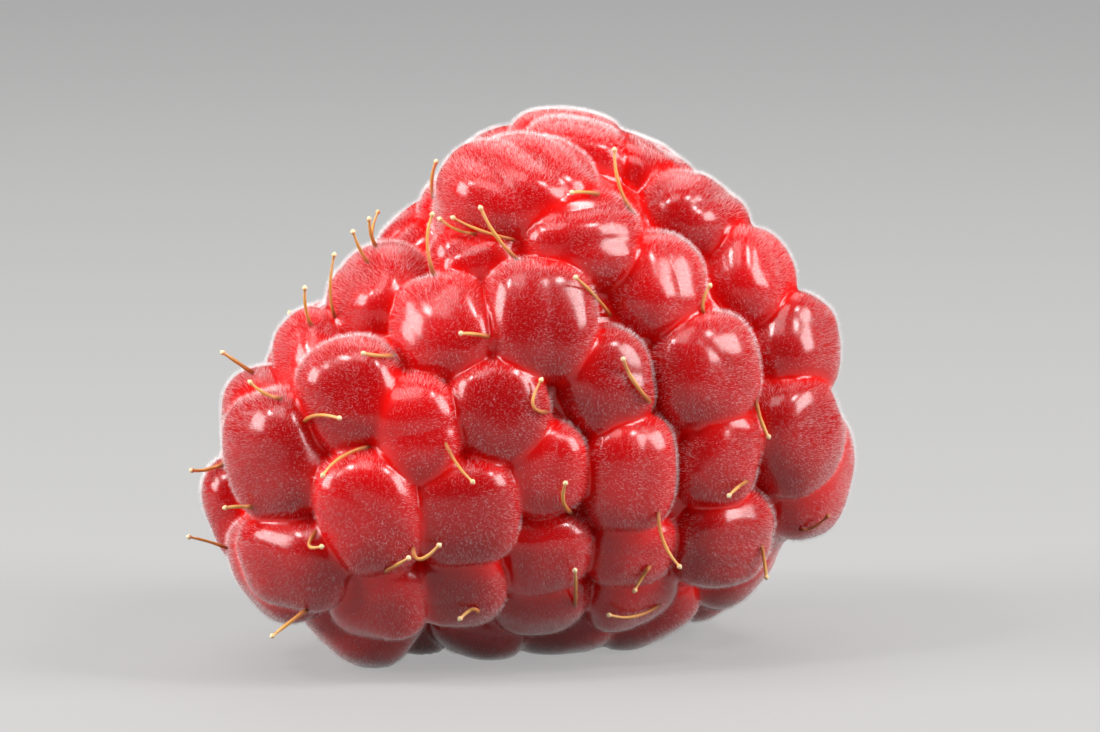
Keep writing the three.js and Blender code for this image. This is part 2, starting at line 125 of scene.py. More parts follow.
# Soft folds in the front's drupelets: which drupelet, the way across its folds in degrees, how far
# apart they are, how high, and how far along the first one lies over their distance
FOLDS = (
    (0, 60, 1.2, 0.1, 0.2), (1, 130, 1.1, 0.11, 0.3), (2, 20, 1.9, 0.08, 0.5),
    (3, 100, 1.7, 0.06, 0.1), (4, 80, 1.8, 0.06, 0.2), (5, 30, 1.35, 0.15, 0.35),
    (7, 110, 1.15, 0.12, 0.15), (8, 20, 1.6, 0.08, 0.5), (9, 115, 1.2, 0.09, 0.3),
    (10, 40, 0.9, 0.1, 0.1), (11, 0, 2.2, 0.05, 0.5), (12, 15, 1.4, 0.06, 0.2),
    (13, 50, 1.3, 0.07, 0.2), (14, 45, 1.7, 0.06, 0.45), (15, 60, 1.5, 0.05, 0.3),
    (16, 20, 1.9, 0.03, 0.5), (17, 90, 1.6, 0.08, 0.5), (18, 30, 1.5, 0.05, 0.2),
    (19, 140, 1.3, 0.05, 0.4), (20, 0, 1.8, 0.04, 0.5), (21, 60, 1.4, 0.05, 0.2),
    (23, 25, 1.3, 0.06, 0.35), (24, 70, 2.0, 0.03, 0.2), (27, 85, 0.9, 0.05, 0.2),
    (28, 90, 1.2, 0.05, 0.3), (29, 80, 1.2, 0.05, 0.1), (30, 110, 1.3, 0.05, 0.4),
    (31, 60, 1.6, 0.04, 0.2),
)

# Rows of the hidden side: degrees from the stem, first and last place in degrees round from the
# top by the front, how many, width, how far out over the cushion
HIDDEN_ROWS = (
    (47, 186, 386, 8, 3.3, 0.9), (66, 190, 370, 9, 3.0, 0.97), (85, 196, 344, 9, 2.8, 1.0),
    (104, 202, 330, 8, 2.9, 1.0), (123, 212, 316, 6, 2.9, 1.0), (142, 232, 296, 3, 2.9, 0.94),
)
UNEVEN = 0.07
GOLDEN_ANGLE = math.pi * (3 - math.sqrt(5))

# Dried styles of the front: the root's x and z, a point on the way, the free end
FRONT_STYLES = (
    (-3.0, 14.2, -3.15, 14.8, -2.95, 15.3), (-4.7, 12.7, -4.9, 13.1, -4.9, 13.5),
    (-4.9, 12.2, -5.2, 12.6, -5.35, 13.1), (-5.9, 10.5, -6.2, 11.3, -5.95, 12.4),
    (-6.6, 10.3, -6.85, 10.8, -6.8, 11.4), (-8.4, 8.9, -8.8, 9.2, -9.25, 9.5),
    (-2.9, 11.8, -3.3, 12.8, -3.0, 13.6), (-1.6, 13.1, -2.2, 13.1, -2.7, 13.5),
    (-0.4, 12.3, -1.1, 12.9, -1.5, 13.8), (-0.4, 12.9, -1.5, 13.1, -2.3, 13.55),
    (3.1, 13.7, 2.5, 14.5, 2.5, 15.6), (2.05, 14.3, 1.6, 14.4, 1.25, 14.35),
    (2.4, 10.6, 2.0, 11.2, 1.35, 11.75), (5.2, 10.7, 5.1, 11.1, 5.35, 11.5),
    (-1.25, 10.0, -1.7, 10.1, -2.05, 10.1), (-4.1, 9.45, -4.5, 9.4, -4.95, 9.5),
    (-7.4, 8.15, -7.95, 8.2, -8.35, 8.6), (-6.8, 7.45, -6.5, 7.8, -5.75, 7.6),
    (-4.7, 6.75, -5.7, 6.6, -6.15, 5.95), (0.55, 7.75, -0.3, 7.7, 0.25, 8.65),
    (3.7, 7.9, 3.0, 8.6, 2.75, 9.3), (-2.6, 6.95, -2.3, 6.2, -1.8, 5.75),
    (6.8, 8.1, 6.9, 7.5, 7.15, 7.05), (6.55, 5.65, 6.25, 5.5, 6.0, 5.25),
    (1.2, 4.7, 0.8, 5.0, 1.0, 5.6), (-8.3, 4.9, -8.7, 4.95, -9.1, 4.9),
    (3.8, 4.85, 3.8, 3.8, 4.4, 3.15), (3.6, 3.1, 3.35, 2.8, 3.15, 2.4),
    (4.0, 1.9, 3.2, 1.3, 2.4, 1.55), (1.3, 1.8, 1.35, 2.4, 1.3, 2.95),
    (-9.3, 6.2, -9.9, 5.9, -10.3, 5.95), (-9.2, 3.6, -9.8, 3.85, -10.3, 3.95),
    (-6.4, 4.25, -6.9, 3.6, -6.3, 3.75), (-6.7, 1.85, -7.2, 1.5, -7.7, 1.1),
    (-4.4, 3.0, -4.1, 3.15, -3.7, 3.4), (-3.55, 3.8, -3.5, 3.0, -2.8, 3.75),
    (-1.6, 1.7, -1.7, 2.0, -2.1, 1.6), (7.0, 3.7, 7.1, 3.2, 7.15, 2.75),
    (8.2, 4.1, 8.6, 4.0, 9.05, 4.45),
)
# and of the hidden side: degrees from the stem, degrees round, length
HIDDEN_STYLES = (
    (58, 250, 1.6), (58, 316, 1.3), (76, 222, 1.2), (76, 272, 1.8), (76, 333, 1.4), (95, 244, 1.3),
    (95, 297, 1.7), (114, 226, 1.2), (114, 275, 1.5), (114, 318, 1.8), (132, 250, 1.5),
    (132, 292, 1.3),
)
STYLE_STEPS = 6
STYLE_CLEAR = 0.14
STYLE_LIFT = 0.45
STYLE_ROOT = 0.2
STYLE_STAND = 0.7
STYLE_BEND = 0.8
STYLE_RADIUS = 0.058
STYLE_UNEVEN = (0.85, 1.15)  # of its radius
STYLE_TAPER = (1.15, 0.75)  # how thick it is at its root and its end, of its radius
STYLE_WAVE = 0.08  # how much thicker and thinner it gets on the way
STYLE_WAVES = (9, 15)  # how fast, in radians over its length
STYLE_GUIDE = (0.3, 0.5, 0.8)  # a direction that no style runs along
STYLE_SIDES = 8
STYLE_RINGS = 18
DARK_STYLES = (39,)
BROWNED = 0.1  # how far a dark one's colour runs from the root's brown to the pale knob
KNOB_RINGS = 6
KNOB_LENGTH = 0.17
KNOB_RADIUS = 0.085
KNOB_SWELL = (0.18, 0.8)  # where its half wave starts and how much of the wave it takes
KNOB_TIP = 0.4
CLEAR = 14  # how far in front of the fruit the lines of sight start

# ---- how finely the surfaces are drawn
FINE_PILLOW = (56, 40)  # sides and rings
PLAIN_PILLOW = (40, 28)
CROWDING = 1.25
FLESH_GRID = (96, 48)
HOLLOW_GRID = (112, 72)
HOLLOW_OUTSIDE = 4.0
DOME_SHARE = 6  # one of so many of its rings is on the dome
HOLLOW_MARGIN = 0.45  # how much wider than its wall it counts, of the dome's radius
HOLLOW_EDGE = 0.2  # how soft the edge of its colour is
HOLLOW_BEYOND = 0.1  # how far past its inner end it counts
BUMP_ROW = 1.5
BUMPS_ROUND = 13
BUMP_HEIGHT = 0.22
BUMP_POWER = 0.7
BUMP_END = 0.2  # the dome narrows to this share of its radius where the bumps end
LUMPS = 0.035
LUMP_LENGTH = 1.6
WAVES = 6  # sine waves in an uneven field
WAVE_UNEVEN = (0.7, 1.4)  # of a wave's length
WAVE_GAIN = 1.7
FOLD_FADE = 0.5  # of a pillow's height, over which its folds rise from its rim
# how far from a cleft the painted glow of the clefts reaches
CLEFT_GLOW_WIDTH = 0.2
FLAT_SINE = 0.2  # two pillows that meet flatter than this count as meeting at it
OFF_PILLOWS = 1.1  # a point further out than this on every pillow is on the flesh
BEND = 0.03  # how softly the pressed drupelets turn flat
FILL = 0.32  # how much further out the flesh stands in the front's corners between drupelets
SOFT_TURNS = 7  # how many times the clefts are smoothed
SOFT_WIDTH = 0.2

# ---- the down
HAIRS = 180000
DOWN_PIECES = 4
HAIR_LENGTH = 0.16
HAIR_RADIUS = 0.0026
HAIR_SUNK = 0.02
HAIR_UNEVEN = (0.6, 1.25)  # of its length
HAIR_SWAY = 0.08
SWAY_LENGTH = 1.1
HAIR_SPREAD = 0.12
STEEP = 0.7  # how far up a hair may point and still have its sides set by the upright
HIDDEN_DOWN = 0.5  # how dense the down is on the hidden side, over the front
HIDDEN_FALL = 1.5  # how soon it gets thinner where the skin turns back
DOWN_BELOW = 0.6  # how dense and long it is where the skin faces down, over where it faces up
DOWN_TURN = 0.4  # over which part of the turn from down to up that changes
CLEFT_BARE = 0.95  # share of the hairs that the clefts lack
BARE_WIDTH = 0.3  # over which the hairs come back
BARE_REACH = 1.5  # how many such widths from the cleft they are all there
RISE_BARE = 0.16  # skin lower than this over the cushion counts as cleft
RISE_STEEP = 1.4  # and the clefts end as soon over that as this makes them
HOLLOW_BARE = 0.7
HOLLOW_SHORT = 0.4  # how much shorter the hollow's hairs are
DOWN_REST = 0.2  # no hair is rooted lower than this

# ---- the stage
FRUIT_MIDDLE = 8.0
FLOOR_RADIUS = 2500
FLOOR_RINGS = 24
FLOOR_SIDES = 96
LENS = 200
SENSOR = 36
VIEW_WIDTH = 34.1
VIEW_RISE = 7
VIEW_AIM = PLACE + (0.548, 0.0, 9.2)
NEAR_CLIP = 10
ROOM_LIGHT = 0.05
LAMP_DISTANCE = 250
CARD_LIGHT = 0.4


# ---- vectors, one to a row
def unit(vectors):
    """Each row divided by its length."""
    return vectors / np.linalg.norm(vectors, axis=-1, keepdims=True)


def dot(first, second):
    """The dot product of each pair of rows, kept as a column."""
    return np.sum(first * second, axis=-1, keepdims=True)


def leaned(vectors, degrees=LEAN):
    """Rows turned about X so that what stood upright leans back by so many degrees."""
    angle = math.radians(-degrees)
    x, y, z = np.moveaxis(np.asarray(vectors, float), -1, 0)
    back = y * math.cos(angle) - z * math.sin(angle)
    rise = y * math.sin(angle) + z * math.cos(angle)
    return np.stack((x, back, rise), axis=-1)


# ---- the cushion that carries the drupelets
def outline_radius(angle):
    """A closed smooth curve through OUTLINE: on each stretch a cubic in t, whose slope at either
    end is half the step between the neighbours of that end."""
    count = len(OUTLINE)
    along = np.mod(angle / math.tau * count, count)
    first = np.floor(along).astype(int) % count
    t = along - np.floor(along)
    before, start, end, after = (OUTLINE[(first + step) % count] for step in (-1, 0, 1, 2))
    slope_start = (end - before) / 2
    slope_end = (after - start) / 2
    rise = end - start
    bend = 3 * rise - 2 * slope_start - slope_end
    twist = slope_start + slope_end - 2 * rise
    return start + t * (slope_start + t * (bend + t * twist))


def cushion_along(direction):
    """The cushion's points in some directions, and how it faces there. With f the share of the
    outline's radius and d the share of the half depth, a point lies where f^FULLNESS + d^FULLNESS
    is 1, and then runs back by RUN_BACK for each millimetre to the right."""
    x, y, z = direction.T
    radius = outline_radius(np.arctan2(z, x))
    flat = np.hypot(x, z) / radius
    deep = np.abs(y) / HALF_DEPTH
    points = direction / ((flat**FULLNESS + deep**FULLNESS) ** (1 / FULLNESS))[:, None]
    points[:, 1] += RUN_BACK * points[:, 0]
    broad = flat ** (FULLNESS - 2) / radius**2
    sunk = np.sign(y) * deep ** (FULLNESS - 1) / HALF_DEPTH
    facing = np.stack((x * broad - RUN_BACK * sunk, sunk, z * broad), axis=1)
    return points + MIDDLE, unit(facing)


def cushion_front(x, z):
    """The same for places of the front, by their x and z."""
    across = np.stack((x - MIDDLE[0], np.zeros(len(x)), z - MIDDLE[2]), axis=1)
    radius = outline_radius(np.arctan2(across[:, 2], across[:, 0]))
    share = np.minimum(np.hypot(across[:, 0], across[:, 2]) / radius, 1)
    across[:, 1] = -HALF_DEPTH * (1 - share**FULLNESS) ** (1 / FULLNESS)
    return cushion_along(across)


def stem_frame():
    """The stem axis, and the top and front directions square to it."""
    turn, rise = math.radians(STEM_TURN), math.radians(STEM_RISE)
    level = math.cos(rise)
    stem = np.array((level * math.cos(turn), level * math.sin(turn), math.sin(rise)))
    front = -unit(np.cross(UP, stem))
    top = -np.cross(stem, front)
    return stem, top, front


def around_stem(from_stem, rounds):
    """Directions at an angle from the stem axis, turned round it from the top towards the front."""
    stem, top, front = stem_frame()
    away, turn = np.radians(from_stem), np.radians(rounds)[:, None]
    aside = top * np.cos(turn) + front * np.sin(turn)
    direction = stem * np.cos(away) + aside * np.sin(away)
    direction[:, 1] -= RUN_BACK * direction[:, 0]
    return direction


# ---- the drupelets
def face_directions(facing, turn):
    """Two directions in the face of each drupelet: across it, level or upright, and up it, both
    turned about the way it faces."""
    sideways = (np.abs(facing[:, 0]) > np.abs(facing[:, 2]))[:, None]
    guide = np.where(sideways, UP, ACROSS)
    flat = unit(guide - facing * dot(guide, facing))
    across = np.where(sideways, np.cross(flat, facing), flat)
    angle = np.radians(turn)[:, None]
    across = across * np.cos(angle) + np.cross(facing, across) * np.sin(angle)
    return across, np.cross(facing, across)


def seated(points, facing, width, height, turn):
    """Drupelets as middles, axes and half sizes. The lowest are pressed onto the surface: a pillow
    reaches down by the sum of |axis.z * size|^q, to the 1/q, where q is PILLOW / (PILLOW - 1)."""
    across, up = face_directions(facing, turn)
    axes = leaned(np.stack((across, up, facing), axis=1))
    deep = CROWN * (width + height) / 2
    sizes = np.stack((SPREAD * width / 2, SPREAD * height / 2, deep), axis=1)
    middles = leaned(points)
    power = PILLOW / (PILLOW - 1)
    reach = np.sum(np.abs(axes[:, :, 2] * sizes) ** power, axis=1) ** (1 / power)
    lowest = middles[:, 2] - reach
    middles[:, 2] += np.where(lowest < FLOOR + SETTLE, FLOOR - PRESS - lowest, 0)
    return middles + PLACE, axes, sizes


def all_drupelets():
    """The front's drupelets, the edge's, then the hidden side's, row by row round the stem end."""
    x, z, width, height, turn = FRONT.T
    groups = [seated(*cushion_front(x, z), width, height, turn)]

    angle, behind, width, height, out = EDGE.T
    angle, behind = np.radians(angle), np.radians(behind)
    level = np.cos(behind)
    direction = np.stack((np.cos(angle) * level, np.sin(behind), np.sin(angle) * level), axis=1)
    points, facing = cushion_along(direction)
    points = MIDDLE + (points - MIDDLE) * out[:, None]
    groups.append(seated(points, facing, width, height, 0 * width))

    for from_stem, start, end, count, width, out in HIDDEN_ROWS:
        points, facing = cushion_along(around_stem(from_stem, np.linspace(start, end, count)))
        uneven = 1 + UNEVEN * np.sin(count * from_stem + GOLDEN_ANGLE * np.arange(count))
        points = MIDDLE + (points - MIDDLE) * out
        groups.append(seated(points, facing, width * uneven, width / uneven, 0 * uneven))
    return tuple(np.concatenate(parts) for parts in zip(*groups))


# ---- closed meshes from grids
def ball_grid(sides, rings, crowding=1.0):
    """Directions of a closed ball as rings round +Z between two poles, the far pole last. Crowding
    over 1 draws the rings towards the first pole."""
    fall = np.pi * (np.arange(1, rings) / rings) ** crowding
    turn = math.tau * np.arange(sides) / sides
    ring = np.stack((
        np.outer(np.sin(fall), np.cos(turn)),
        np.outer(np.sin(fall), np.sin(turn)),
        np.outer(np.cos(fall), np.ones(sides)),
    ), axis=-1)
    return np.vstack((UP[None], ring.reshape(-1, 3), -UP[None]))


def ball_faces(sides, rings):
    """Faces of such a ball: a fan at each pole and four-cornered faces between the rings, facing
    outwards."""
    index = 1 + np.arange((rings - 1) * sides).reshape(rings - 1, sides)
    after = np.roll(index, -1, axis=1)
    last = 1 + (rings - 1) * sides
    fans = [np.stack((np.zeros(sides, int), index[0], after[0]), axis=1)]
    fans.append(np.stack((np.full(sides, last), after[-1], index[-1]), axis=1))
    walls = np.stack((index[:-1], index[1:], after[1:], after[:-1]), axis=-1).reshape(-1, 4)
    return [*np.concatenate(fans).tolist(), *walls.tolist()]


def make_mesh(name, points, faces):
    """A smooth mesh in metres from points in millimetres."""
    mesh = bpy.data.meshes.new(name)
    mesh.from_pydata((np.asarray(points) * MM).tolist(), [], faces)
    mesh.update()
    mesh.shade_smooth()
    return mesh


def place(name, mesh, material=None):
    """The mesh as an object at the origin."""
    piece = bpy.data.objects.new(name, mesh)
    bpy.context.scene.collection.objects.link(piece)
    if material:
        mesh.materials.append(material)
    return piece


def vertex_points(mesh):
    points = np.empty(len(mesh.vertices) * 3, np.float32)
    mesh.vertices.foreach_get("co", points)
    return points.reshape(-1, 3).astype(float) / MM


def add_attribute(mesh, name, values):
    attribute = mesh.attributes.new(name, "FLOAT", "POINT")
    attribute.data.foreach_set("value", np.asarray(values, np.float32))


# ---- the skin
def ripple(points, length, seed):
    """A smooth uneven field between about -1 and 1: the mean of WAVES sine waves of nearly that
    length that run in directions of their own, times WAVE_GAIN."""
    draw = np.random.default_rng(seed)
    ways = unit(draw.normal(size=(WAVES, 3)))
    runs = ways * math.tau / (length * draw.uniform(*WAVE_UNEVEN, size=(WAVES, 1)))
    shifts = draw.uniform(0, math.tau, size=WAVES)
    return np.mean(np.sin(points @ runs.T + shifts), axis=1) * WAVE_GAIN


def pillow_points(middle, axes, sizes, directions, folds):
    """A pillow: each direction is drawn out until |x|^PILLOW + |y|^PILLOW + |z|^PILLOW is 1, and
    its inner half is stretched by ROOT. Folds rise along its crown as |cos| of the way across them,
    with round ridges and narrow valleys. Then it is turned and set in place."""
    reach = np.sum(np.abs(directions) ** PILLOW, axis=1) ** (1 / PILLOW)
    points = directions / reach[:, None] * sizes
    crown = np.clip(directions[:, 2], 0, 1) ** FOLD_FADE
    points[:, 2] *= np.where(points[:, 2] < 0, ROOT, 1)
    for across, distance, height, first in folds:
        turn = math.radians(across)
        way = points[:, 0] * math.cos(turn) + points[:, 1] * math.sin(turn)
        ridge = np.abs(np.cos(math.pi * (way / distance + first))) - 2 / math.pi
        points = points + (height * ridge * crown)[:, None] * directions
    return middle + points @ axes


def pressed(points):
    """Points kept off the surface below, with a short soft bend: z becomes the greater of z and 0,
    rounded over BEND."""
    z = points[:, 2]
    bent = (np.maximum(z + BEND, 0)) ** 2 / (4 * BEND)
    return np.column_stack((points[:, :2], np.where(z > BEND, z, bent)))


def flesh_points(directions):
    """The grown-together flesh: the cushion scaled by FLESH about its middle, raised by up to FILL
    where it faces the front, and cut square to the stem axis at STEM_END."""
    stem, _, _ = stem_frame()
    points, facing = cushion_along(directions)
    surface = (points - MIDDLE) * FLESH + facing * FILL * np.clip(-facing[:, 1:2], 0, 1)
    over = np.maximum(surface @ stem / STEM_END, 1)
    return leaned(MIDDLE + surface / over[:, None]) + PLACE


def hollow_points(sides, rings):
    """The hollow as rings round the stem axis, from its far outside to its inner end: a cone that
    narrows inwards to a dome. Its wall carries the drupelets' blunt inner ends: rows of low bumps,
    each ((1 - 4a^2)(1 - 4b^2))^BUMP_POWER high over a cell whose own places a and b run from -1/2
    to 1/2."""
    stem, top, front = stem_frame()
    outer = STEM_END + HOLLOW_OUTSIDE
    mouth = HOLLOW_MOUTH + (HOLLOW_MOUTH - HOLLOW_END) / HOLLOW_DEPTH * HOLLOW_OUTSIDE
    inner = STEM_END - HOLLOW_DEPTH + HOLLOW_END
    dome_rings = rings // DOME_SHARE
    share = np.linspace(0, 1, rings - 1 - dome_rings)
    fall = np.arange(1, dome_rings + 1) / (dome_rings + 1) * math.pi / 2
    along = np.concatenate((outer + (inner - outer) * share, inner - HOLLOW_END * np.sin(fall)))
    radius = np.concatenate((mouth + (HOLLOW_END - mouth) * share, HOLLOW_END * np.cos(fall)))

    turn = math.tau * np.arange(sides) / sides
    row = along[:, None] / BUMP_ROW
    cell = turn / math.tau * BUMPS_ROUND + 0.5 * (np.floor(row) % 2)
    a, b = cell - np.floor(cell) - 0.5, row - np.floor(row) - 0.5
    bump = BUMP_HEIGHT * ((1 - 4 * a**2) * (1 - 4 * b**2)) ** BUMP_POWER
    wide = radius[:, None] - bump * np.minimum(radius[:, None] / HOLLOW_END - BUMP_END, 1)
    aside = np.outer(np.cos(turn), top) + np.outer(np.sin(turn), front)
    wall = (along[:, None, None] * stem + wide[:, :, None] * aside).reshape(-1, 3)
    ends = np.stack((outer * stem, (STEM_END - HOLLOW_DEPTH) * stem))
    return leaned(MIDDLE + np.vstack((ends[:1], wall, ends[1:]))) + PLACE


def joined_skin(drupelets):
    """The flesh and every pillow joined into one closed mesh, less the hollow."""
    pillows = bpy.data.collections.new("pillows")
    for index, (middle, axes, sizes) in enumerate(zip(*drupelets)):
        sides, rings = FINE_PILLOW if index < len(FRONT) else PLAIN_PILLOW
        folds = [fold[1:] for fold in FOLDS if fold[0] == index]
        points = pillow_points(middle, axes, sizes, ball_grid(sides, rings, CROWDING), folds)
        points += unit(points - middle) * LUMPS * ripple(points, LUMP_LENGTH, SEED)[:, None]
        mesh = make_mesh(f"pillow_{index}", pressed(points), ball_faces(sides, rings))
        pillows.objects.link(bpy.data.objects.new(mesh.name, mesh))
    flesh_mesh = make_mesh("flesh", flesh_points(ball_grid(*FLESH_GRID)), ball_faces(*FLESH_GRID))
    hollow_mesh = make_mesh("hollow", hollow_points(*HOLLOW_GRID), ball_faces(*HOLLOW_GRID))
    flesh, hollow = place("flesh", flesh_mesh), place("hollow", hollow_mesh)

    join = flesh.modifiers.new("join", "BOOLEAN")
    join.operation, join.solver = "UNION", "MANIFOLD"
    join.operand_type, join.collection = "COLLECTION", pillows
    cut = flesh.modifiers.new("cut", "BOOLEAN")
    cut.operation, cut.solver, cut.object = "DIFFERENCE", "MANIFOLD", hollow
    graph = bpy.context.evaluated_depsgraph_get()
    skin = bpy.data.meshes.new_from_object(flesh.evaluated_get(graph))
    skin.name = "skin"
    skin.materials.clear()
    for spare in (flesh, hollow, *pillows.objects):
        bpy.data.meshes.remove(spare.data)
    bpy.data.collections.remove(pillows)
    skin.shade_smooth()
    return skin


def pillow_shares(points, drupelets):
    """How far out each point lies on every pillow, with 1 on its skin: a column for each pillow."""
    columns = []
    for middle, axes, sizes in zip(*drupelets):
        local = (points - middle) @ axes.T / sizes
        local[:, 2] /= np.where(local[:, 2] < 0, ROOT, 1)
        columns.append(np.sum(np.abs(local) ** PILLOW, axis=1) ** (1 / PILLOW))
    return np.stack(columns, axis=1)


def rise_over_cushion(points):
    """How high each point stands over the cushion, in millimetres."""
    offset = leaned(points - PLACE, -LEAN) - MIDDLE
    offset[:, 1] -= RUN_BACK * offset[:, 0]
    x, y, z = offset.T
    flat = np.hypot(x, z) / outline_radius(np.arctan2(z, x))
    share = (flat**FULLNESS + np.abs(y / HALF_DEPTH) ** FULLNESS) ** (1 / FULLNESS)
    return np.linalg.norm(offset, axis=1) * (1 - 1 / share)


def inside_hollow(points):
    """1 on the hollow's wall and 0 outside it, with a short step at the mouth."""
    stem, _, _ = stem_frame()
    stem = leaned(stem)
    offset = points - PLACE - leaned(MIDDLE)
    along = offset @ stem
    aside = np.linalg.norm(offset - along[:, None] * stem, axis=1)
    inner = STEM_END - HOLLOW_DEPTH + HOLLOW_END
    slope = (HOLLOW_MOUTH - HOLLOW_END) / HOLLOW_DEPTH
    wide = HOLLOW_END + slope * np.maximum(along - inner, 0) + HOLLOW_END * HOLLOW_MARGIN
    within = along > inner - HOLLOW_END - HOLLOW_BEYOND
    return np.clip((wide - aside) / HOLLOW_EDGE, 0, 1) * within


def pillow_facing(points, drupelets, number):
    """How a pillow of the given number faces at each point: the gradient of its share."""
    middle, axes, sizes = (np.asarray(values)[number] for values in drupelets)
    local = np.einsum("nj,nkj->nk", points - middle, axes) / sizes
    sizes = sizes * np.where(local < 0, (1, 1, ROOT), 1)
    local[:, 2] /= np.where(local[:, 2] < 0, ROOT, 1)
    steep = np.sign(local) * np.abs(local) ** (PILLOW - 1) / sizes
    return unit(np.einsum("nk,nkj->nj", steep, axes))


def cleft_gap(points, drupelets):
    """How far each point is from the nearest cleft, in millimetres and 0 on the flesh itself, and
    the number of the drupelet that it is on. The height to the next pillow is divided by the sine
    of the angle between the two, because it rises slowly where they meet at a flat angle."""
    shares = pillow_shares(points, drupelets)
    nearest = np.argsort(shares, axis=1)[:, :2]
    first, second = np.take_along_axis(shares, nearest, axis=1).T
    here, there = (pillow_facing(points, drupelets, nearest[:, k]) for k in (0, 1))
    sine = np.linalg.norm(np.cross(here, there), axis=1)
    rise = (np.where(first > OFF_PILLOWS, 1, second) - 1) * np.mean(drupelets[2])
    return np.maximum(rise / np.maximum(sine, FLAT_SINE), 0), nearest[:, 0]


def softened(skin, points, share):
    """The skin's points after SOFT_TURNS turns, in each of which a point goes half of its share of
    the way to the mean of its neighbours."""
    ends = np.empty(len(skin.edges) * 2, np.int32)
    skin.edges.foreach_get("vertices", ends)
    ends = ends.reshape(-1, 2)
    here = np.concatenate((ends[:, 0], ends[:, 1]))
    there = np.concatenate((ends[:, 1], ends[:, 0]))
    count = np.bincount(here, minlength=len(points))[:, None]
    for _ in range(SOFT_TURNS):
        sums = [np.bincount(here, points[there, axis], len(points)) for axis in range(3)]
        points = points + 0.5 * share[:, None] * (np.stack(sums, axis=1) / count - points)
    return points


def soften_clefts(skin, drupelets):
    """Rounds the sharp creases where drupelets meet."""
    points = vertex_points(skin)
    gap, _ = cleft_gap(points, drupelets)
    share = np.exp(-((gap / SOFT_WIDTH) ** 2)) * (1 - inside_hollow(points))
    points = softened(skin, points, share * (points[:, 2] > BEND))
    skin.vertices.foreach_set("co", (points * MM).astype(np.float32).ravel())
    skin.update()


def mark_skin(skin, drupelets):
    """Gives the skin's points what its material needs: how close a cleft or the cushion is, which
    sets the painted glow of the clefts, how far inside the hollow, and each drupelet's own tone."""
    points = vertex_points(skin)
    gap, number = cleft_gap(points, drupelets)
    gap = np.minimum(gap, np.maximum(rise_over_cushion(points) - RISE_BARE, 0) * RISE_STEEP)
    # closeness to a cleft: the share of painted glow in the skin's colour there
    cleft = np.exp(-gap / CLEFT_GLOW_WIDTH)
    tones = np.random.default_rng(SEED).uniform(0, 1, len(drupelets[0]))
    inner = inside_hollow(points)
    add_attribute(skin, "cleft", cleft * (1 - inner))
    add_attribute(skin, "inner", inner)
    add_attribute(skin, "tone", tones[number])
    return points, gap, inner


# ---- the down
def triangles_of(mesh):
    mesh.calc_loop_triangles()
    corners = np.empty(len(mesh.loop_triangles) * 3, np.int32)
    mesh.loop_triangles.foreach_get("vertices", corners)
    return corners.reshape(-1, 3)


def point_normals(mesh):
    normals = np.empty(len(mesh.vertices) * 3, np.float32)
    mesh.vertex_normals.foreach_get("vector", normals)
    return normals.reshape(-1, 3).astype(float)


def down_roots(skin, points, gap, inner):
    """Roots, directions and lengths of the hairs, drawn at random over the skin by area. They stand
    thinner in the clefts, in the hollow, underneath and on the hidden side, and there are none
    where the fruit rests."""
    draw = np.random.default_rng(SEED + 1)
    corners = triangles_of(skin)
    a, b, c = (points[corners[:, k]] for k in range(3))
    normals = point_normals(skin)
    area = np.linalg.norm(np.cross(b - a, c - a), axis=1) / 2
    centre = (a + b + c) / 3
    facing = normals[corners].mean(axis=1)
    dense = np.clip(1 - HIDDEN_FALL * facing[:, 1], HIDDEN_DOWN, 1) * (centre[:, 2] > DOWN_REST)
    upwards = DOWN_BELOW + (1 - DOWN_BELOW) * np.clip(DOWN_TURN + facing[:, 2], 0, 1)
    bare = np.clip(BARE_REACH - gap[corners].mean(axis=1) / BARE_WIDTH, 0, 1)
    dense *= upwards
    dense *= 1 - CLEFT_BARE * bare
    dense *= 1 - HOLLOW_BARE * inner[corners].mean(axis=1)
    weight = area * dense
    picked = np.sort(draw.choice(len(area), HAIRS, p=weight / weight.sum()))
    u, v = draw.uniform(size=(2, HAIRS, 1))
    over = u + v > 1
    u, v = np.where(over, 1 - u, u), np.where(over, 1 - v, v)
    roots = a[picked] * (1 - u - v) + b[picked] * u + c[picked] * v
    out = facing[picked]
    sway = np.stack([ripple(roots, SWAY_LENGTH, SEED + k) for k in (2, 3, 4)], axis=1)
    heads = unit(out + HAIR_SWAY * sway + HAIR_SPREAD * draw.normal(size=(HAIRS, 3)))
    length = HAIR_LENGTH * draw.uniform(*HAIR_UNEVEN, size=(HAIRS, 1))
    length *= upwards[picked, None] * (1 - HOLLOW_SHORT * inner[corners[picked, :1]])
    return roots, heads, length


def hair_mesh(name, roots, heads, length):
    """Closed three-sided spikes: three corners round each root, sunk a little into the skin, and
    one at the tip."""
    aside = unit(np.cross(heads, np.where(np.abs(heads[:, 2:]) < STEEP, UP, ACROSS)))
    other = np.cross(heads, aside)
    turns = math.tau * np.arange(3) / 3
    low = roots - HAIR_SUNK * heads
    around = [aside * math.cos(turn) + other * math.sin(turn) for turn in turns]
    ring = [low + HAIR_RADIUS * out for out in around]
    tips = roots + heads * length
    points = np.stack((*ring, tips), axis=1).reshape(-1, 3)
    corners = np.array(((0, 1, 3), (1, 2, 3), (2, 0, 3), (2, 1, 0)))
    faces = (4 * np.arange(len(roots))[:, None, None] + corners).reshape(-1, 3)
    mesh = bpy.data.meshes.new(name)
    mesh.vertices.add(len(points))
    mesh.vertices.foreach_set("co", (points * MM).astype(np.float32).ravel())
    mesh.loops.add(faces.size)
    mesh.loops.foreach_set("vertex_index", faces.ravel().astype(np.int32))
    mesh.polygons.add(len(faces))
    mesh.polygons.foreach_set("loop_start", np.arange(0, faces.size, 3, dtype=np.int32))
    mesh.update(calc_edges=True)
    mesh.shade_smooth()
    return mesh


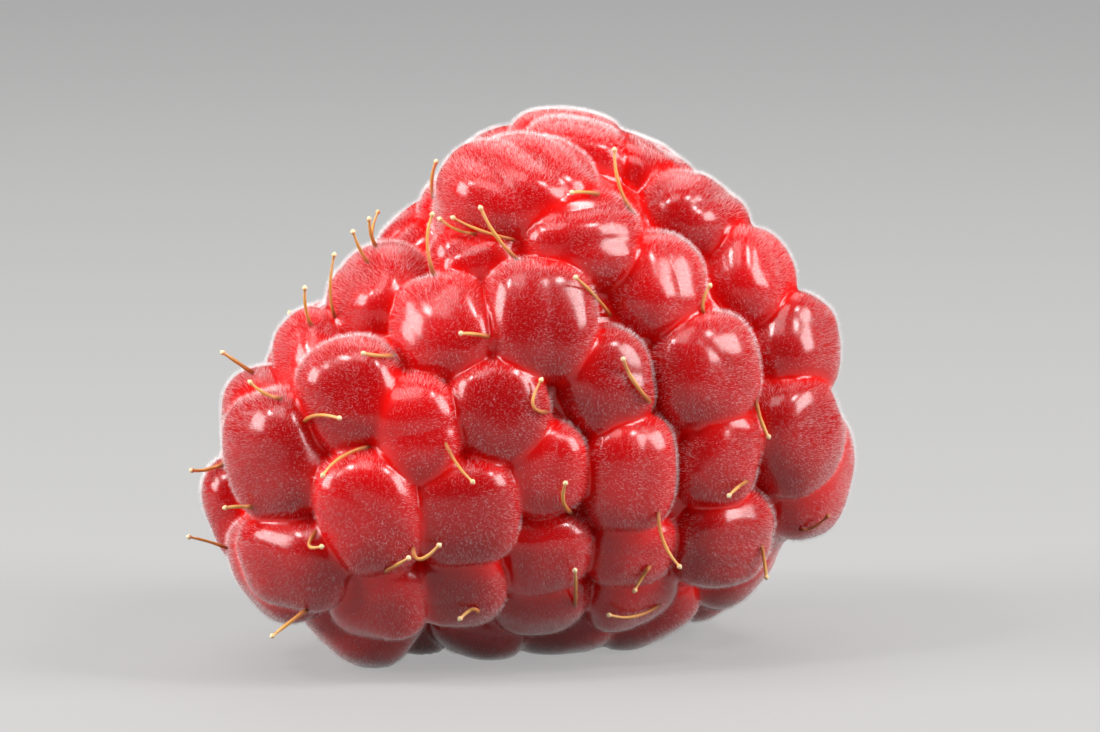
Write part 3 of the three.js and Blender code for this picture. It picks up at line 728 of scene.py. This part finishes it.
# ---- the dried styles
def felt_depth(tree, start, heading):
    """How far from start the skin is, straight along heading, or nothing where it is passed by."""
    hit = tree.ray_cast(Vector(start), Vector(heading))
    return hit[3] if hit[3] is not None else None


def front_route(tree, style):
    """A front style's line: a bow in x and z from root to free end, and in depth straight from the
    root out to STYLE_LIFT off the skin, or STYLE_CLEAR over the skin where that is in its way."""
    t = np.linspace(0, 1, STYLE_STEPS + 1)[:, None]
    root, way, end = np.array(style).reshape(3, 2)
    plan = (1 - t) ** 2 * root + 2 * t * (1 - t) * way + t**2 * end
    places = leaned(np.stack((plan[:, 0], np.full(len(t), -CLEAR), plan[:, 1]), axis=1)) + PLACE
    inwards = leaned(INWARDS)
    depths = [felt_depth(tree, spot, inwards) for spot in places]
    first = depths[0]
    last = min((first if depths[-1] is None else depths[-1]) - STYLE_LIFT, first)
    straight = first + (last - first) * t[:, 0]
    clear = np.array([CLEAR * 2 if depth is None else depth - STYLE_CLEAR for depth in depths])
    depth = np.minimum(straight, clear)
    depth[0] = first + STYLE_ROOT
    return places + depth[:, None] * inwards


def hidden_route(tree, style, number):
    """A hidden style's line: out of the skin and bent over, the bend growing with the square of the
    way along."""
    from_stem, turn, length = style
    points, facing = cushion_along(around_stem(from_stem, np.array([turn])))
    out = leaned(facing[0])
    start = leaned(points[0]) + PLACE + out * HALF_DEPTH
    root = start - out * felt_depth(tree, start, -out)
    aside = face_directions(out[None], np.array([math.degrees(number * GOLDEN_ANGLE)]))[0][0]
    t = np.linspace(0, 1, STYLE_STEPS + 1)[:, None]
    line = root + aside * length * STYLE_BEND * t**2 + out * length * STYLE_STAND * t
    line[0] -= out * STYLE_ROOT
    return line


def smooth_line(points, steps):
    """A Catmull-Rom curve through the points: each stretch is the cubic whose end slopes are half
    the step between the neighbours of that end."""
    first, last = 2 * points[0] - points[1], 2 * points[-1] - points[-2]
    padded = np.vstack((first, points, last))
    along = np.linspace(0, len(points) - 1, steps)
    index = np.minimum(along.astype(int), len(points) - 2)
    t = (along - index)[:, None]
    before, start, end, after = (padded[index + step] for step in range(4))
    bend, twist = 2 * before - 5 * start + 4 * end - after, 3 * start - before - 3 * end + after
    return 0.5 * (2 * start + (end - before) * t + bend * t**2 + twist * t**3)


def style_mesh(name, route, draw, pale):
    """A dried style: a round thread along its line, thick at the root and thin near the end, where
    a knob swells as half an egg on the last ring. Its colour runs from the root's brown to as pale
    as told."""
    line = smooth_line(route, STYLE_RINGS)
    heading = unit(line[-1] - line[-2])
    knob = np.linspace(0, 1, KNOB_RINGS)[1:]
    line = np.vstack((line, line[-1] + KNOB_LENGTH * knob[:, None] * heading))
    share = np.linspace(0, 1, STYLE_RINGS)
    thick = STYLE_RADIUS * draw.uniform(*STYLE_UNEVEN)
    taper = STYLE_TAPER[0] + (STYLE_TAPER[1] - STYLE_TAPER[0]) * share
    thread = thick * (taper + STYLE_WAVE * np.sin(share * draw.uniform(*STYLE_WAVES)))
    start, part = KNOB_SWELL
    swell = KNOB_RADIUS * np.sin(np.pi * (start + part * knob))
    radius = np.concatenate((thread, np.maximum(swell, thread[-1] * (1 - knob) ** 0.5)))
    ahead = unit(np.gradient(line, axis=0))
    side = unit(np.cross(ahead, unit(np.cross(line[-1] - line[0], STYLE_GUIDE))))
    other = np.cross(ahead, side)
    turn = math.tau * np.arange(STYLE_SIDES) / STYLE_SIDES
    turn = turn[None, :, None]
    ring = np.cos(turn) * side[:, None] + np.sin(turn) * other[:, None]
    walls = (line[:, None] + radius[:, None, None] * ring).reshape(-1, 3)
    end = line[-1] + heading * radius[-1] * KNOB_TIP
    points = np.vstack((line[:1], walls, end[None]))
    mesh = make_mesh(name, points, ball_faces(STYLE_SIDES, len(line) + 1))
    along = pale * np.concatenate((share, 1 + knob))
    add_attribute(mesh, "along", np.concatenate(([0], np.repeat(along, STYLE_SIDES), [2 * pale])))
    return mesh


# ---- materials
def linear(code):
    """A colour written as sRGB hex, turned to the linear values that shaders take."""
    values = [int(code[start : start + 2], 16) / 255 for start in (1, 3, 5)]
    return [v / 12.92 if v <= 0.04045 else ((v + 0.055) / 1.055) ** 2.4 for v in values] + [1.0]


def new_material(name):
    material = bpy.data.materials.new(name)
    material.use_nodes = True
    material.node_tree.nodes.clear()
    return material


def add_node(material, kind, settings=None, values=None, links=None):
    """A node of a kind, with its settings, the values of its sockets and the links into them."""
    node = material.node_tree.nodes.new(kind)
    for name, value in (settings or {}).items():
        setattr(node, name, value)
    for socket, value in (values or {}).items():
        node.inputs[socket].default_value = value
    for socket, source in (links or {}).items():
        material.node_tree.links.new(source, node.inputs[socket])
    return node


def raspberry_skin():
    """Ripe raspberry skin: thin, moist and clear over red juice. Light sinks in and glows back red;
    in the clefts that glow is also painted into the colour as a brighter red. The moist film
    mirrors the lamps with soft edges, and the skin under it mirrors next to nothing, which keeps
    the red deep."""
    skin = new_material("raspberry_skin")
    rgb, name = {"data_type": "RGBA"}, "attribute_name"
    where = {"Vector": add_node(skin, "ShaderNodeTexCoord").outputs["Object"]}
    tone = add_node(skin, "ShaderNodeAttribute", {name: "tone"}).outputs["Fac"]
    cleft = add_node(skin, "ShaderNodeAttribute", {name: "cleft"}).outputs["Fac"]
    inner = add_node(skin, "ShaderNodeAttribute", {name: "inner"}).outputs["Fac"]

    # juice shows deeper and lighter in clouds a millimetre or two across, and by the drupelet
    cloud = add_node(skin, "ShaderNodeTexNoise", {}, {"Scale": 700.0, "Detail": 3.0}, where)
    shades, dark = {6: linear("#c0050b"), 7: linear("#da0a12")}, {7: linear("#a80409")}
    juice = add_node(skin, "ShaderNodeMix", rgb, shades, {0: cloud.outputs["Fac"]}).outputs[2]
    juice = add_node(skin, "ShaderNodeMix", rgb, dark, {0: tone, 6: juice}).outputs[2]
    # the clefts' brighter red is a painted glow, for the light that passes through their thin skin,
    # and the hollow is pale with no juice
    painted_cleft_glow, pale = {7: linear("#ea0b04")}, {7: linear("#f0b8b0")}
    juice_with_painted_glow = add_node(skin, "ShaderNodeMix", rgb, painted_cleft_glow, {0: cleft, 6: juice}).outputs[2]
    colour = add_node(skin, "ShaderNodeMix", rgb, pale, {0: inner, 6: juice_with_painted_glow}).outputs[2]

    # cells too fine to see one by one, drawn as coarse as it takes for the highlights to break up
    cells = add_node(skin, "ShaderNodeTexNoise", {}, {"Scale": 9000.0, "Detail": 1.0}, where)
    height, deep = {"Height": cells.outputs["Fac"]}, {"Distance": 0.01 * MM}
    bump = add_node(skin, "ShaderNodeBump", {}, deep, height).outputs["Normal"]
    surface = add_node(skin, "ShaderNodeBsdfPrincipled", {}, {
        "Roughness": 0.3, "IOR": 1.35, "Specular IOR Level": 0.05, "Subsurface Weight": 1.0,
        "Subsurface Radius": (1.0, 0.1, 0.05), "Subsurface Scale": 1.3 * MM,
        "Coat Weight": 1.0, "Coat Roughness": 0.19,
    }, {"Base Color": colour, "Normal": bump})
    add_node(skin, "ShaderNodeOutputMaterial", {}, {}, {"Surface": surface.outputs["BSDF"]})
    return skin


def white_down():
    """Fine white plant hair: hollow, dry and full of air, so it looks white and shines a little.
    Its breath of pink is painted light: it stands for the red light thrown onto it by the skin that
    it grows on."""
    down = new_material("white_down")
    hair = add_node(down, "ShaderNodeBsdfPrincipled", {}, {
        "Base Color": linear("#fff0f0"), "Roughness": 0.4, "IOR": 1.5,
    })
    add_node(down, "ShaderNodeOutputMaterial", {}, {}, {"Surface": hair.outputs["BSDF"]})
    return down


def dried_style():
    """Dried plant fibre: straw-coloured and dull, brown at the root, with a pale knob at its end.
    Its bump gives it the grain of a fibre."""
    straw = new_material("dried_style")
    where = {"Vector": add_node(straw, "ShaderNodeTexCoord").outputs["Object"]}
    along = add_node(straw, "ShaderNodeAttribute", {"attribute_name": "along"}).outputs["Fac"]
    ramp = add_node(straw, "ShaderNodeValToRGB", links={"Fac": along})
    stops = ramp.color_ramp.elements
    stops[0].color, stops[1].color = linear("#8a3a18"), linear("#e8b070")
    for position, shade in ((0.25, "#c87a3c"), (0.7, "#dca050")):
        stops.new(position).color = linear(shade)
    beyond = {"operation": "SUBTRACT", "use_clamp": True}
    knob = add_node(straw, "ShaderNodeMath", beyond, {1: 1.0}, {0: along}).outputs[0]
    links = {0: knob, 6: ramp.outputs["Color"]}
    colour = add_node(straw, "ShaderNodeMix", {"data_type": "RGBA"}, {7: linear("#f4e8c0")}, links)
    fibre = add_node(straw, "ShaderNodeTexNoise", {}, {"Scale": 9000.0}, where)
    height, deep = {"Height": fibre.outputs["Fac"]}, {"Distance": 0.01 * MM}
    bump = add_node(straw, "ShaderNodeBump", {}, deep, height).outputs["Normal"]
    surface = add_node(straw, "ShaderNodeBsdfPrincipled", {}, {
        "Roughness": 0.5, "Subsurface Weight": 0.3,
        "Subsurface Radius": (1.0, 0.6, 0.3), "Subsurface Scale": 0.05 * MM,
    }, {"Base Color": colour.outputs[2], "Normal": bump})
    add_node(straw, "ShaderNodeOutputMaterial", {}, {}, {"Surface": surface.outputs["BSDF"]})
    return straw


def pale_card():
    """Matte pale card for the floor: even, with a little light of its own in the view and in
    reflections, so that it stays pale far from the lamps and keeps the fruit's shadow."""
    card = new_material("pale_card")
    where = {"Vector": add_node(card, "ShaderNodeTexCoord").outputs["Object"]}
    cloud = add_node(card, "ShaderNodeTexNoise", {}, {"Scale": 9.0}, where).outputs["Fac"]
    shades = {6: linear("#6a6968"), 7: linear("#6f6e6d")}
    colour = add_node(card, "ShaderNodeMix", {"data_type": "RGBA"}, shades, {0: cloud})
    rays = add_node(card, "ShaderNodeLightPath").outputs
    most, times = {"operation": "MAXIMUM"}, {"operation": "MULTIPLY"}
    links = {0: rays["Is Glossy Ray"], 1: rays["Is Transmission Ray"]}
    mirrored = add_node(card, "ShaderNodeMath", most, {}, links).outputs[0]
    links = {0: rays["Is Camera Ray"], 1: mirrored}
    seen = add_node(card, "ShaderNodeMath", most, {}, links).outputs[0]
    own = add_node(card, "ShaderNodeMath", times, {1: CARD_LIGHT}, {0: seen})
    surface = add_node(card, "ShaderNodeBsdfPrincipled", {}, {
        "Roughness": 0.8, "Emission Color": linear("#f2f2f2"),
    }, {"Base Color": colour.outputs[2], "Emission Strength": own.outputs[0]})
    add_node(card, "ShaderNodeOutputMaterial", {}, {}, {"Surface": surface.outputs["BSDF"]})
    return card


# ---- the stage
def floor_points(sides, rings, radius):
    """A flat disc: rings whose radius grows with the square of their number."""
    turn = math.tau * np.arange(sides) / sides
    wide = radius * (np.arange(1, rings + 1) / rings) ** 2
    x, y = np.outer(wide, np.cos(turn)), np.outer(wide, np.sin(turn))
    return np.vstack((np.zeros((1, 3)), np.stack((x, y, 0 * x), axis=-1).reshape(-1, 3)))


def disc_faces(sides, rings):
    index = 1 + np.arange(rings * sides).reshape(rings, sides)
    after = np.roll(index, -1, axis=1)
    fan = np.stack((np.zeros(sides, int), index[0], after[0]), axis=1)
    walls = np.stack((index[:-1], index[1:], after[1:], after[:-1]), axis=-1).reshape(-1, 4)
    return [*fan.tolist(), *walls.tolist()]


def soft_box(name, azimuth, elevation, size, power):
    """A square studio lamp that looks at the fruit, with azimuth 0 in front and 90 at the right.
    Its size is in millimetres and its power in watts."""
    turn, rise = math.radians(azimuth), math.radians(elevation)
    level = math.cos(rise)
    back = Vector((math.sin(turn) * level, -math.cos(turn) * level, math.sin(rise)))
    lamp = bpy.data.lights.new(name, "AREA")
    lamp.size, lamp.energy = size * MM, power
    holder = bpy.data.objects.new(name, lamp)
    holder.location = Vector((0, 0, FRUIT_MIDDLE * MM)) + back * LAMP_DISTANCE * MM
    holder.rotation_mode = "QUATERNION"
    holder.rotation_quaternion = back.to_track_quat("Z", "Y")
    bpy.context.scene.collection.objects.link(holder)


def camera():
    """A long lens in front of the fruit and a little above it."""
    lens = bpy.data.cameras.new("camera")
    lens.lens, lens.sensor_width = LENS, SENSOR
    lens.clip_start = NEAR_CLIP * MM
    distance = VIEW_WIDTH * LENS / SENSOR * MM
    rise = math.radians(VIEW_RISE)
    back = Vector((0, -math.cos(rise), math.sin(rise)))
    holder = bpy.data.objects.new("camera", lens)
    holder.location = Vector(VIEW_AIM * MM) + back * distance
    holder.rotation_mode = "QUATERNION"
    holder.rotation_quaternion = back.to_track_quat("Z", "Y")
    bpy.context.scene.collection.objects.link(holder)
    bpy.context.scene.camera = holder


def surroundings():
    """An even pale room all round."""
    world = bpy.data.worlds.new("room")
    world.use_nodes = True
    world.node_tree.nodes["Background"].inputs["Color"].default_value = linear("#f2f4f6")
    world.node_tree.nodes["Background"].inputs["Strength"].default_value = ROOM_LIGHT
    bpy.context.scene.world = world


# ---- making it
drupelets = all_drupelets()
skin_mesh = joined_skin(drupelets)
soften_clefts(skin_mesh, drupelets)
points, gap, inner = mark_skin(skin_mesh, drupelets)
skin = place("skin", skin_mesh, raspberry_skin())
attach(skin, "root")
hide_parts("drupelets")

roots, heads, length = down_roots(skin_mesh, points, gap, inner)
down_material = white_down()
for number, part in enumerate(np.array_split(np.argsort(roots[:, 0]), DOWN_PIECES), start=1):
    name = f"down_{number}"
    down = place(name, hair_mesh(name, roots[part], heads[part], length[part]), down_material)
    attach(down, "root")

tree = BVHTree.FromPolygons(points.tolist(), triangles_of(skin_mesh).tolist())
style_material = dried_style()
draw = np.random.default_rng(SEED + 9)
routes = [front_route(tree, style) for style in FRONT_STYLES]
routes += [hidden_route(tree, style, number) for number, style in enumerate(HIDDEN_STYLES)]
for number, route in enumerate(routes, start=1):
    name = f"style_{number:02d}"
    pale = BROWNED if number in DARK_STYLES else 1
    style = place(f"dried_{name}", style_mesh(f"dried_{name}", route, draw, pale), style_material)
    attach(style, "root")
    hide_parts(name)

disc = floor_points(FLOOR_SIDES, FLOOR_RINGS, FLOOR_RADIUS)
floor = place("floor", make_mesh("floor", disc, disc_faces(FLOOR_SIDES, FLOOR_RINGS)), pale_card())
soft_box("left_broad", -72, 26, 125, 0.66)
soft_box("right_broad", 75, 26, 125, 0.61)
soft_box("left_small", -50, 52, 40, 0.2)
soft_box("right_small", 58, 50, 40, 0.17)
soft_box("top", -12, 66, 120, 0.18)
soft_box("back", 178, 60, 200, 0.22)
surroundings()
camera()

settings = bpy.context.scene.view_settings
settings.view_transform = "Standard"
